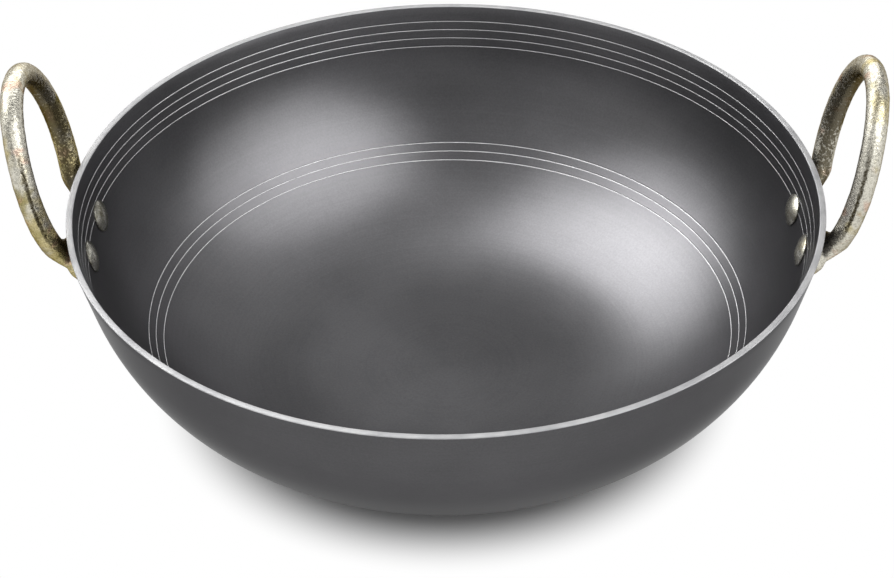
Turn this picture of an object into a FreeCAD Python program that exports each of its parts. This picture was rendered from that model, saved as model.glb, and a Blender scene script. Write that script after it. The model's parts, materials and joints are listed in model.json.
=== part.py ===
import FreeCAD, Part
import math
import os
import re

import Sketcher
from FreeCAD import Placement, Rotation, Vector

# A kadai: a round-bellied bowl with a ring handle of bent rod on each side, each held by two rivets.
# Lengths are in millimetres and angles in degrees. The origin is the middle of the flat base,
# +Z is up, and the handles stand on the X axis.

# Driving dimensions, one row of the sheet each
SIZES = {
    # Bowl, measured outside
    "rim_diameter": 300,
    "bowl_height": 90,
    "flare_angle": 14,  # of the straight upper wall, from the vertical
    "flare_depth": 19.5,  # height of the straight upper wall, above the round belly
    "wall_thickness": 2.5,
    "rim_round": 0.5,
    # Fine lines turned into the inside, two groups, each measured down from the rim
    "line_width": 0.5,
    "upper_line_drop": 6.8,
    "upper_line_pitch": 3.75,
    "lower_line_drop": 57,
    "lower_line_pitch": 2.9,
    # Ring handles, measured on the middle line of the rod
    "rod_diameter": 8.8,
    "ring_width": 63.8,
    "ring_height": 74,  # from the rivets to the top
    "ring_lean": 11.5,  # outwards, from the vertical
    "top_turn": 45,  # of the top bend, each side
    "leg_angle": 50,  # of the straight legs, from the horizontal
    "rod_gap": 1,  # from the wall, at the rivets
    # Flattened and drilled ends of the rod
    "tab_width": 11,
    "tab_thickness": 6.2,
    "tab_length": 7,  # from the rivet to the middle of the shoulder
    "tab_round": 1.3,
    "neck_length": 9,  # from there to the round rod
    "neck_inset": 0.6,  # how far inside the tab's faces the neck starts
    # Rivets
    "rivet_spacing": 28.6,
    "rivet_drop": 21,  # below the rim
    "shank_diameter": 6,
    "head_diameter": 13,
    "head_height": 2.5,
    "head_edge": 0.6,
    "tail_diameter": 8.4,
    "tail_height": 2.2,
    "tail_edge": 0.8,
    # Clearances
    "seat_clearance": 0.05,
    "hole_clearance": 0.1,
}
UPPER_LINES = 4
LOWER_LINES = 3
NECK_SHARE = 0.5  # place of the neck's middle section, between the tab and the round rod

SIDES = {"right": 0, "left": 180}  # turn of each handle about the bowl's axis
ENDS = {"front": -1, "rear": 1}  # side of the handle, along Y

# Sketcher's numbers for the points of a line, arc or circle, and for a sketch's own axes
START, END, CENTRE = range(1, 4)
AXIS_X, AXIS_Y = range(-1, -3, -1)
ORIGIN = (AXIS_X, START)

doc = FreeCAD.newDocument("kadai")


# Sheet of sizes

def make_sheet():
    """Put every driving dimension in a cell of its own, named by its alias."""
    sheet = doc.addObject("Spreadsheet::Sheet", "Sizes")
    for row, (name, value) in enumerate(SIZES.items(), start=1):
        sheet.set(f"A{row}", name)
        sheet.set(f"B{row}", str(value))
        sheet.setAlias(f"B{row}", name)
    doc.recompute()
    return sheet


SHEET = make_sheet()


def size(expression):
    """Value of an expression on the sheet's cells."""
    return float(SHEET.evalExpression(expression))


# Shape of the bowl's wall, as expressions on the sheet

RIM_RADIUS = "rim_diameter / 2"
BELLY_RADIUS = "((bowl_height - flare_depth) / (1 - sin(flare_angle)))"
BASE_RADIUS = f"({RIM_RADIUS} - flare_depth * tan(flare_angle) - {BELLY_RADIUS} * cos(flare_angle))"


def inner_radius(drop):
    """Radius of the inner wall at a depth below the rim, both as expressions."""
    if size(drop) <= SHEET.flare_depth:
        return f"{RIM_RADIUS} - ({drop}) * tan(flare_angle) - wall_thickness / cos(flare_angle)"
    below_centre = f"({BELLY_RADIUS} - bowl_height + {drop})"
    return f"{BASE_RADIUS} + sqrt(({BELLY_RADIUS} - wall_thickness)^2 - {below_centre}^2)"


def outer_wall(drop):
    """Radius of the outer wall, and its angle from the vertical in radians, at a depth below the rim."""
    flare = math.radians(SHEET.flare_angle)
    if drop <= SHEET.flare_depth:
        return size(RIM_RADIUS) - drop * math.tan(flare), flare
    belly = size(BELLY_RADIUS)
    angle = math.asin((belly - SHEET.bowl_height + drop) / belly)
    return size(BASE_RADIUS) + belly * math.cos(angle), angle


# Middle line of a ring, as expressions on the sheet.
# Each half has a top bend, a wider side bend past the waist, and a straight leg down to the rivet.

HALF_WIDTH = "(ring_width / 2)"
LEG_SIDE = f"({HALF_WIDTH} - rivet_spacing / 2)"
LEG_BEND_SHARE = "((1 - sin(leg_angle)) / cos(leg_angle))"
BENDS_HEIGHT = f"(ring_height - {LEG_SIDE} * tan(leg_angle) - {HALF_WIDTH} * tan(top_turn / 2))"
SIDE_BEND_SHARE = f"(cos(top_turn) + {LEG_BEND_SHARE} - (1 - sin(top_turn)) * tan(top_turn / 2))"
SIDE_BEND = f"({BENDS_HEIGHT} / {SIDE_BEND_SHARE})"
TOP_BEND = f"(({HALF_WIDTH} - {SIDE_BEND} * (1 - sin(top_turn))) / sin(top_turn))"
WAIST_HEIGHT = f"({SIDE_BEND} * {LEG_BEND_SHARE} + {LEG_SIDE} * tan(leg_angle))"
LEG_LENGTH = f"(({LEG_SIDE} - {SIDE_BEND} * (1 - sin(leg_angle))) / cos(leg_angle))"
ROD_START = "(tab_length + neck_length)"
ROD_TURN = f"(leg_angle + ({ROD_START} - {LEG_LENGTH}) / {SIDE_BEND} * 180 / pi)"


# Frame of the handle on the +X side

LEAN = math.radians(SHEET.ring_lean)
RING_UP = Vector(math.sin(LEAN), 0, math.cos(LEAN))
RING_OUT = Vector(math.cos(LEAN), 0, -math.sin(LEAN))
RING_ACROSS = Vector(0, 1, 0)


def ring_foot():
    """Middle of the ring at the rivets' height, clear of the wall by the rod and its gap."""
    radius, angle = outer_wall(SHEET.rivet_drop)
    standoff = size("rod_diameter / 2 + rod_gap") / math.cos(angle)
    return Vector(radius + standoff, 0, SHEET.bowl_height - SHEET.rivet_drop)


def ring_at(distance):
    """Point and direction of the ring's middle line, at a distance along it from the rivet."""
    turn = math.radians(SHEET.leg_angle)
    leg = size(LEG_LENGTH)
    if distance <= leg:
        across = size("rivet_spacing / 2") + distance * math.cos(turn)
        rise = distance * math.sin(turn)
    else:
        bend = size(SIDE_BEND)
        turn += (distance - leg) / bend
        across = size(HALF_WIDTH) - bend * (1 - math.sin(turn))
        rise = size(WAIST_HEIGHT) - bend * math.cos(turn)
    direction = RING_ACROSS * math.cos(turn) + RING_UP * math.sin(turn)
    return ring_foot() + RING_ACROSS * across + RING_UP * rise, direction


def frame_at(point, x_axis, z_axis):
    """Placement whose origin is a point, with its Z axis given and its X axis near another."""
    return Placement(point, Rotation(x_axis, Vector(), z_axis, "ZXY"))


def rivet_frame(sign):
    """Placement of a rivet of the +X handle: on the outer wall, Z pointing out, X along the leg."""
    radius, angle = outer_wall(SHEET.rivet_drop)
    around = sign * math.asin(size("rivet_spacing / 2") / radius)
    height = SHEET.bowl_height - SHEET.rivet_drop
    point = Vector(radius * math.cos(around), radius * math.sin(around), height)
    flat = math.cos(angle)
    out = Vector(flat * math.cos(around), flat * math.sin(around), -math.sin(angle))
    _, along = ring_at(0)
    return frame_at(point, Vector(along.x, sign * along.y, along.z), out)


def side_turn(side):
    """Turn about the bowl's axis that brings the +X handle to its side."""
    return Placement(Vector(), Rotation(Vector(0, 0, 1), SIDES[side]))


def rivet_place(side, end):
    """Placement of one of the four rivets on the whole part."""
    sign = ENDS[end] if side == "right" else -ENDS[end]
    return side_turn(side).multiply(rivet_frame(sign))


# Sketch helpers

def new_body(label, placement=Placement()):
    """Body of one sub-part, whose label names its file."""
    body = doc.addObject("PartDesign::Body", label)
    body.Label = label
    body.Placement = placement
    return body


def origin_plane(body, role):
    """One of a body's own origin planes."""
    return next(item for item in body.Origin.OriginFeatures if item.Role == role)


def attach(item, body, role="XY_Plane", offset=Placement()):
    """Attach a sketch or primitive to a plane of its own body."""
    item.AttachmentSupport = (origin_plane(body, role), [""])
    item.MapMode = "FlatFace"
    item.AttachmentOffset = offset


def new_sketch(body, name, role="XY_Plane", offset=Placement()):
    """Empty sketch on a plane of its body."""
    sketch = body.newObject("Sketcher::SketchObject", name)
    attach(sketch, body, role, offset)
    return sketch


def line(sketch, start, end):
    """Add a straight line between two flat points."""
    return sketch.addGeometry(Part.LineSegment(Vector(*start, 0), Vector(*end, 0)))


def arc(sketch, centre, radius, first, last):
    """Add an arc, anticlockwise between two angles in radians."""
    circle = Part.Circle(Vector(*centre, 0), Vector(0, 0, 1), radius)
    return sketch.addGeometry(Part.ArcOfCircle(circle, first, last))


def fix(sketch, kind, *places):
    """Add a geometric constraint."""
    sketch.addConstraint(Sketcher.Constraint(kind, *places))


def dimension(sketch, name, expression, kind, *places):
    """Add a dimension, named and bound to the sheet."""
    value = size(expression)
    if kind == "Angle":
        value = math.radians(value)
        bound = f"({on_sheet(expression)}) * 1 deg"
    else:
        bound = on_sheet(expression)
    index = sketch.addConstraint(Sketcher.Constraint(kind, *places, value))
    sketch.renameConstraint(index, name)
    sketch.setExpression(f"Constraints.{name}", bound)


def on_sheet(expression):
    """The same expression, with the sheet's name before each of its cells."""
    return re.sub("[a-z_]+", lambda word: f"Sizes.{word[0]}" if word[0] in SIZES else word[0], expression)


def bind(item, prop, expression):
    """Bind a property to the sheet."""
    item.setExpression(prop, on_sheet(expression))


def turn_feature(body, kind, sketch, name):
    """Revolve or groove a sketch a full turn about its upright axis."""
    feature = body.newObject(f"PartDesign::{kind}", name)
    feature.Profile = sketch
    feature.ReferenceAxis = (sketch, ["V_Axis"])
    feature.Angle = 360
    doc.recompute()
    return feature


def drill(body, name, placement, start, depth):
    """Drill a rivet's hole along its axis, from a start to a depth, both on the sheet."""
    hole = body.newObject("PartDesign::SubtractiveCylinder", name)
    attach(hole, body, offset=placement.multiply(Placement(Vector(0, 0, size(start)), Rotation())))
    bind(hole, "Radius", "shank_diameter / 2 + hole_clearance")
    bind(hole, "Height", depth)
    doc.recompute()


# Bowl

def bowl_profile(body):
    """Half section of the bowl: flat base, round belly and straight flared wall, of even thickness."""
    sketch = new_sketch(body, "bowl_profile", "XZ_Plane")
    rim = size(RIM_RADIUS)
    height = SHEET.bowl_height
    wall = SHEET.wall_thickness
    slope = math.radians(SHEET.flare_angle)
    base_radius = size(BASE_RADIUS)
    belly_radius = size(BELLY_RADIUS)
    centre = (base_radius, belly_radius)
    down = -math.pi / 2
    joint = (outer_wall(SHEET.flare_depth)[0], height - SHEET.flare_depth)
    inner_joint = (joint[0] - wall * math.cos(slope), joint[1] + wall * math.sin(slope))
    inner_rim = (rim - wall / math.cos(slope), height)

    base = line(sketch, (0, 0), (base_radius, 0))
    belly = arc(sketch, centre, belly_radius, down, -slope)
    flare = line(sketch, joint, (rim, height))
    lip = line(sketch, (rim, height), inner_rim)
    inner_flare = line(sketch, inner_rim, inner_joint)
    inner_belly = arc(sketch, centre, belly_radius - wall, down, -slope)
    floor = line(sketch, (base_radius, wall), (0, wall))
    middle = line(sketch, (0, wall), (0, 0))

    fix(sketch, "Coincident", base, START, *ORIGIN)
    fix(sketch, "Coincident", middle, END, *ORIGIN)
    fix(sketch, "Coincident", lip, START, flare, END)
    fix(sketch, "Coincident", inner_flare, START, lip, END)
    fix(sketch, "Coincident", middle, START, floor, END)
    fix(sketch, "Tangent", base, END, belly, START)
    fix(sketch, "Tangent", belly, END, flare, START)
    fix(sketch, "Tangent", inner_flare, END, inner_belly, END)
    fix(sketch, "Tangent", inner_belly, START, floor, START)
    fix(sketch, "Coincident", belly, CENTRE, inner_belly, CENTRE)
    fix(sketch, "Parallel", flare, inner_flare)
    for flat in (base, lip, floor):
        fix(sketch, "Horizontal", flat)
    fix(sketch, "PointOnObject", floor, END, AXIS_Y)
    dimension(sketch, "rim_radius", RIM_RADIUS, "DistanceX", *ORIGIN, flare, END)
    dimension(sketch, "rim_height", "bowl_height", "DistanceY", *ORIGIN, flare, END)
    dimension(sketch, "flare_drop", "flare_depth", "DistanceY", flare, START, flare, END)
    dimension(sketch, "flare_slope", "90 - flare_angle", "Angle", AXIS_X, START, flare, START)
    dimension(sketch, "floor_thickness", "wall_thickness", "DistanceY", *ORIGIN, floor, END)
    return sketch


def line_drops():
    """Depth below the rim of each turned line, as an expression on the sheet."""
    upper = [f"upper_line_drop + {step} * upper_line_pitch" for step in range(UPPER_LINES)]
    lower = [f"lower_line_drop + {step} * lower_line_pitch" for step in range(LOWER_LINES)]
    return upper + lower


def turned_lines(body):
    """Sections of the fine half-round lines, each centred on the inner wall."""
    sketch = new_sketch(body, "turned_lines", "XZ_Plane")
    for number, drop in enumerate(line_drops(), start=1):
        radius = inner_radius(drop)
        height = f"bowl_height - ({drop})"
        place = Vector(size(radius), size(height), 0)
        ring = sketch.addGeometry(Part.Circle(place, Vector(0, 0, 1), size("line_width / 2")))
        dimension(sketch, f"line_{number}_size", "line_width / 2", "Radius", ring)
        dimension(sketch, f"line_{number}_radius", radius, "DistanceX", *ORIGIN, ring, CENTRE)
        dimension(sketch, f"line_{number}_height", height, "DistanceY", *ORIGIN, ring, CENTRE)
    return sketch


def rim_edges(shape):
    """Names of the two edges of the rim's flat top."""
    names = []
    for number, edge in enumerate(shape.Edges, start=1):
        box = edge.BoundBox
        if math.isclose(box.ZMin, SHEET.bowl_height) and math.isclose(box.ZMax, SHEET.bowl_height):
            names.append(f"Edge{number}")
    return names


def make_bowl():
    """Turned bowl with a flat rounded rim, fine lines inside and four rivet holes."""
    body = new_body("bowl")
    shell = turn_feature(body, "Revolution", bowl_profile(body), "shell")
    rim = body.newObject("PartDesign::Fillet", "rim")
    rim.Base = (shell, rim_edges(shell.Shape))
    bind(rim, "Radius", "rim_round")
    doc.recompute()
    turn_feature(body, "Groove", turned_lines(body), "lines")
    for side in SIDES:
        for end in ENDS:
            place = rivet_place(side, end)
            drill(body, f"{side}_{end}_hole", place, "-2 * wall_thickness", "3 * wall_thickness")
    return body


# Ring handles

def oval_sketch(body, name, placement, width, thickness):
    """Oval section of the neck, wide along the sketch's X axis."""
    sketch = new_sketch(body, name, offset=placement)
    oval = sketch.addGeometry(Part.Ellipse(Vector(), size(width) / 2, size(thickness) / 2))
    sketch.exposeInternalGeometry(oval)
    long_axis = oval + 1
    short_axis = oval + 2
    fix(sketch, "Coincident", oval, CENTRE, *ORIGIN)
    fix(sketch, "Horizontal", long_axis)
    dimension(sketch, "width", width, "Distance", long_axis)
    dimension(sketch, "thickness", thickness, "Distance", short_axis)
    return sketch


def rod_sketch(body, name, placement):
    """Round section of the rod."""
    sketch = new_sketch(body, name, offset=placement)
    ring = sketch.addGeometry(Part.Circle(Vector(), Vector(0, 0, 1), size("rod_diameter / 2")))
    fix(sketch, "Coincident", ring, CENTRE, *ORIGIN)
    dimension(sketch, "radius", "rod_diameter / 2", "Radius", ring)
    return sketch


def tab_outline(body, frame):
    """Outline of a flattened end: two round ends, the first one about the rivet."""
    sketch = new_sketch(body, "tab_outline", offset=frame)
    reach = SHEET.tab_length
    half = size("tab_width / 2")
    quarter = math.pi / 2
    tip = arc(sketch, (0, 0), half, quarter, 3 * quarter)
    lower = line(sketch, (0, -half), (reach, -half))
    shoulder = arc(sketch, (reach, 0), half, -quarter, quarter)
    upper = line(sketch, (reach, half), (0, half))
    fix(sketch, "Tangent", tip, END, lower, START)
    fix(sketch, "Tangent", lower, END, shoulder, START)
    fix(sketch, "Tangent", shoulder, END, upper, START)
    fix(sketch, "Tangent", upper, END, tip, START)
    fix(sketch, "Coincident", tip, CENTRE, *ORIGIN)
    fix(sketch, "Horizontal", lower)
    fix(sketch, "Horizontal", upper)
    dimension(sketch, "half_width", "tab_width / 2", "Radius", tip)
    dimension(sketch, "reach", "tab_length", "DistanceX", *ORIGIN, shoulder, CENTRE)
    return sketch


def ring_path(body, frame):
    """Middle line of half the ring, from its top down one side to the neck."""
    sketch = new_sketch(body, "ring_path", offset=frame)
    top_bend = size(TOP_BEND)
    side_bend = size(SIDE_BEND)
    joint = math.radians(90 - SHEET.top_turn)
    spare_leg = f"({LEG_LENGTH} - {ROD_START})"
    lower_turn = "leg_angle" if size(spare_leg) > 0 else ROD_TURN
    lower = math.radians(size(f"{lower_turn} - 90"))
    top = arc(sketch, (0, SHEET.ring_height - top_bend), top_bend, joint, math.pi / 2)
    side = arc(sketch, (size(HALF_WIDTH) - side_bend, size(WAIST_HEIGHT)), side_bend, lower, joint)
    fix(sketch, "Tangent", top, START, side, END)
    fix(sketch, "PointOnObject", top, CENTRE, AXIS_Y)
    fix(sketch, "PointOnObject", top, END, AXIS_Y)
    dimension(sketch, "top_height", "ring_height", "DistanceY", *ORIGIN, top, END)
    dimension(sketch, "top_radius", TOP_BEND, "Radius", top)
    dimension(sketch, "side_radius", SIDE_BEND, "Radius", side)
    dimension(sketch, "top_span", "top_turn", "Angle", top)
    dimension(sketch, "side_span", f"180 - top_turn - {lower_turn}", "Angle", side)
    if size(spare_leg) > 0:
        begin = sketch.getPoint(side, START)
        slope = math.radians(SHEET.leg_angle)
        length = size(spare_leg)
        finish = (begin.x - length * math.cos(slope), begin.y - length * math.sin(slope))
        leg = line(sketch, (begin.x, begin.y), finish)
        fix(sketch, "Tangent", side, START, leg, START)
        dimension(sketch, "leg_length", spare_leg, "Distance", leg)
    return sketch


def flattened_end(body, frame):
    """Flat tab on the wall, square to its rivet, with rounded edges."""
    seat = Placement(Vector(0, 0, SHEET.seat_clearance), Rotation())
    tab = body.newObject("PartDesign::Pad", "tab")
    tab.Profile = tab_outline(body, frame.multiply(seat))
    bind(tab, "Length", "tab_thickness")
    doc.recompute()
    rounding = body.newObject("PartDesign::Fillet", "tab_rounding")
    out = frame.Rotation.multVec(Vector(0, 0, 1))
    names = []
    for number, edge in enumerate(tab.Shape.Edges, start=1):
        span = edge.Vertexes[-1].Point - edge.Vertexes[0].Point
        if abs(span.dot(out)) < SHEET.seat_clearance:
            names.append(f"Edge{number}")
    rounding.Base = (tab, names)
    bind(rounding, "Radius", "tab_round")
    doc.recompute()


def neck_and_ring(body, frame):
    """Neck that rounds from the tab to the rod, and half the ring above it."""
    tab_out = frame.Rotation.multVec(Vector(0, 0, 1))
    tab_along = frame.Rotation.multVec(Vector(1, 0, 0))
    tab_point = frame.multVec(Vector(SHEET.tab_length, 0, size("seat_clearance + tab_thickness / 2")))
    offset = tab_point - ring_at(SHEET.tab_length)[0]
    middle_point, middle_along = ring_at(SHEET.tab_length + NECK_SHARE * SHEET.neck_length)
    middle_point += offset * (1 - NECK_SHARE)
    rod_point, rod_along = ring_at(size(ROD_START))

    start_frame = frame_at(tab_point, tab_out.cross(tab_along), tab_along)
    middle_frame = frame_at(middle_point, RING_OUT.cross(middle_along), middle_along)
    rod_frame = frame_at(rod_point, RING_OUT.cross(rod_along), rod_along)
    width = "tab_width - 2 * neck_inset"
    thickness = "tab_thickness - 2 * neck_inset"
    neck = body.newObject("PartDesign::AdditiveLoft", "neck")
    neck.Profile = oval_sketch(body, "neck_start", start_frame, width, thickness)
    neck.Sections = [
        rod_sketch(body, "neck_middle", middle_frame),
        rod_sketch(body, "neck_finish", rod_frame),
    ]
    doc.recompute()

    foot = ring_foot()
    top = foot + RING_UP * SHEET.ring_height
    half_ring = body.newObject("PartDesign::AdditivePipe", "half_ring")
    half_ring.Profile = rod_sketch(body, "rod", frame_at(top, RING_UP, RING_ACROSS))
    half_ring.Spine = ring_path(body, frame_at(foot, RING_ACROSS, RING_OUT))
    doc.recompute()


def make_handle(side):
    """Ring handle: half of it is built and mirrored, then both ends are drilled for the rivets."""
    body = new_body(f"{side}_handle", side_turn(side))
    frame = rivet_frame(ENDS["rear"])
    flattened_end(body, frame)
    neck_and_ring(body, frame)
    both = body.newObject("PartDesign::Mirrored", "both_halves")
    both.TransformMode = "Whole shape"
    both.MirrorPlane = (origin_plane(body, "XZ_Plane"), [""])
    body.Tip = both
    doc.recompute()
    for end, sign in ENDS.items():
        drill(body, f"{end}_hole", rivet_frame(sign), "-tab_thickness", "3 * tab_thickness")
    return body


# Rivets

def rivet_profile(body):
    """Half section of a rivet about its own axis: domed head inside the wall, closed head on the tab."""
    sketch = new_sketch(body, "rivet_profile", "XZ_Plane")
    hollow = f"(head_diameter / 2)^2 / (2 * ({BELLY_RADIUS} - wall_thickness))"
    head_seat = f"-(wall_thickness + {hollow} + seat_clearance)"
    tail_seat = "tab_thickness + 2 * seat_clearance"
    heads = {
        "head": (-1, head_seat, "head_diameter / 2", "head_height", "head_edge"),
        "tail": (1, tail_seat, "tail_diameter / 2", "tail_height", "tail_edge"),
    }
    shank = size("shank_diameter / 2")
    seats = {name: size(values[1]) for name, values in heads.items()}
    body_line = line(sketch, (shank, seats["head"]), (shank, seats["tail"]))
    fix(sketch, "Vertical", body_line)
    dimension(sketch, "shank_radius", "shank_diameter / 2", "DistanceX", *ORIGIN, body_line, START)
    tops = []
    for name, (way, seat_place, radius_text, height_text, edge_text) in heads.items():
        radius = size(radius_text)
        flat = seats[name]
        edge = flat + way * size(edge_text)
        top = flat + way * size(height_text)
        rise = abs(top - edge)
        dome_radius = (radius ** 2 + rise ** 2) / (2 * rise)
        centre = top - way * dome_radius
        slope = math.atan2(abs(edge - centre), radius) * (1 if abs(top - centre) > rise else -1)
        under = line(sketch, (shank, flat), (radius, flat))
        rim = line(sketch, (radius, flat), (radius, edge))
        first, last = sorted((way * slope, way * math.pi / 2))
        dome = arc(sketch, (0, centre), dome_radius, first, last)
        low_end, top_end = (START, END) if way > 0 else (END, START)
        fix(sketch, "Coincident", under, START, body_line, END if way > 0 else START)
        fix(sketch, "Coincident", under, END, rim, START)
        fix(sketch, "Coincident", rim, END, dome, low_end)
        fix(sketch, "Horizontal", under)
        fix(sketch, "Vertical", rim)
        fix(sketch, "PointOnObject", dome, CENTRE, AXIS_Y)
        fix(sketch, "PointOnObject", dome, top_end, AXIS_Y)
        dimension(sketch, f"{name}_seat", seat_place, "DistanceY", *ORIGIN, under, START)
        dimension(sketch, f"{name}_radius", radius_text, "DistanceX", *ORIGIN, under, END)
        dimension(sketch, f"{name}_edge", f"{way} * {edge_text}", "DistanceY", rim, START, rim, END)
        dimension(sketch, f"{name}_height", f"{way} * {height_text}", "DistanceY", rim, START, dome, top_end)
        tops.append((dome, top_end, top))
    (head, head_end, head_top), (tail, tail_end, tail_top) = tops
    middle = line(sketch, (0, tail_top), (0, head_top))
    fix(sketch, "Coincident", middle, START, tail, tail_end)
    fix(sketch, "Coincident", middle, END, head, head_end)
    return sketch


def make_rivet(side, end):
    """Rivet through the wall and the handle's flattened end."""
    body = new_body(f"{side}_{end}_rivet", rivet_place(side, end))
    turn_feature(body, "Revolution", rivet_profile(body), "rivet")
    return body


# Whole part

def check(parts):
    """Stop if any object failed, or any sub-part isn't one valid solid."""
    for item in doc.Objects:
        if "Invalid" in item.State or "Error" in item.State:
            raise RuntimeError(f"{item.Label} failed: {item.State}")
    for body in parts:
        shape = body.Shape
        if shape.isNull() or not shape.isValid() or len(shape.Solids) != 1:
            raise RuntimeError(f"{body.Label} is not one valid solid")


def main():
    """Build every sub-part, check it and write it to its own file."""
    parts = [make_bowl()]
    for side in SIDES:
        parts.append(make_handle(side))
        for end in ENDS:
            parts.append(make_rivet(side, end))
    doc.recompute()
    check(parts)
    os.makedirs("parts", exist_ok=True)
    for body in parts:
        body.Shape.exportStep(f"parts/{body.Label}.step")
        print(body.Label, f"{body.Shape.Volume:.1f} mm3")


main()
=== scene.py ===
import json
import logging
import math
from dataclasses import dataclass
from enum import Enum
from typing import Any, Callable, Iterable, Sequence, Union

import bpy
from mathutils import Matrix, Vector

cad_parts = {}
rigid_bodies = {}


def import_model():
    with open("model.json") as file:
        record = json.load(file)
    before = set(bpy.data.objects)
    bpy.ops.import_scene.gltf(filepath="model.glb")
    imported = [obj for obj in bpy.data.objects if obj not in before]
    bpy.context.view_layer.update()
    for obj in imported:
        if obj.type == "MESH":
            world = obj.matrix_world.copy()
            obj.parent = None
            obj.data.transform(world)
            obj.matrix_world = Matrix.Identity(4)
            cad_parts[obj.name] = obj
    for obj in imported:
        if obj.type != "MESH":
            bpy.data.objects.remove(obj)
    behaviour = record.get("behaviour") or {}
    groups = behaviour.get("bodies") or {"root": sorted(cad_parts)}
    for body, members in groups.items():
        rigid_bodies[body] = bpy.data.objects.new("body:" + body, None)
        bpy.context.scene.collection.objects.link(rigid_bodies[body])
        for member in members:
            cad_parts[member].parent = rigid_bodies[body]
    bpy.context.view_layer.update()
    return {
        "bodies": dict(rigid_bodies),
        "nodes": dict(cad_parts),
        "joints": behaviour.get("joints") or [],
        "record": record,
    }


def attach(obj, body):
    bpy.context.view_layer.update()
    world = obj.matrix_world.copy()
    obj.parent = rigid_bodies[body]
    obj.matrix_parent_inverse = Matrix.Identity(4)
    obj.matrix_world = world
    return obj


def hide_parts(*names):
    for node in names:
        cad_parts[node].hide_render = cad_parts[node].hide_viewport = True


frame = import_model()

# A kadai: a dark turned bowl with a ring handle of bent rod on each side, each held by two rivets.
# Lengths are in metres, in the frame of the CAD part: origin at the middle of the flat base, +Z up.

log = logging.getLogger("kadai")

Colour = tuple[float, float, float]
Place = tuple[float, float, float]
Flat = tuple[float, float]
Item = bpy.types.Object
Pieces = dict[str, list[Item]]
BODY = "root"


class Side(Enum):
    """The two handles, by their turn about the bowl's axis from the one on +X."""

    RIGHT = 0.0
    LEFT = math.pi


# How golden the plating of each handle is, from 0 to 1
GOLD = {Side.RIGHT: 0.0, Side.LEFT: 1.0}


class End(Enum):
    """The two ends of a handle, by their sign along Y."""

    FRONT = -1
    REAR = 1


class Skin(Enum):
    """The finishes of the bowl, by their place in its list of materials."""

    ANODISED = 0
    RIM = 1
    LINE = 2


# Shader maths


class Number:
    """A socket of a node graph, on which Python's arithmetic adds Math nodes."""

    def __init__(self, graph: "Graph", socket: bpy.types.NodeSocket) -> None:
        """Keep the socket and the graph it belongs to."""
        self.graph = graph
        self.socket = socket

    def _maths(self, operation: str, first: Any, second: Any) -> "Number":
        """Add one Math node for two values."""
        return self.graph.node("ShaderNodeMath", {"operation": operation}, {0: first, 1: second})

    def __add__(self, other: Any) -> "Number":
        """Sum with a value."""
        return self._maths("ADD", self, other)

    __radd__ = __add__

    def __sub__(self, other: Any) -> "Number":
        """This value less another."""
        return self._maths("SUBTRACT", self, other)

    def __rsub__(self, other: Any) -> "Number":
        """Another value less this one."""
        return self._maths("SUBTRACT", other, self)

    def __mul__(self, other: Any) -> "Number":
        """Product with a value."""
        return self._maths("MULTIPLY", self, other)

    __rmul__ = __mul__

    def __pow__(self, other: Any) -> "Number":
        """This value to a power."""
        return self._maths("POWER", self, other)

    def step(self, low: float, high: float) -> "Number":
        """A smooth rise from 0 to 1 as this value goes from low to high."""
        inputs = {"Value": self, "From Min": low, "From Max": high}
        return self.graph.node("ShaderNodeMapRange", {"interpolation_type": "SMOOTHSTEP"}, inputs)


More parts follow.
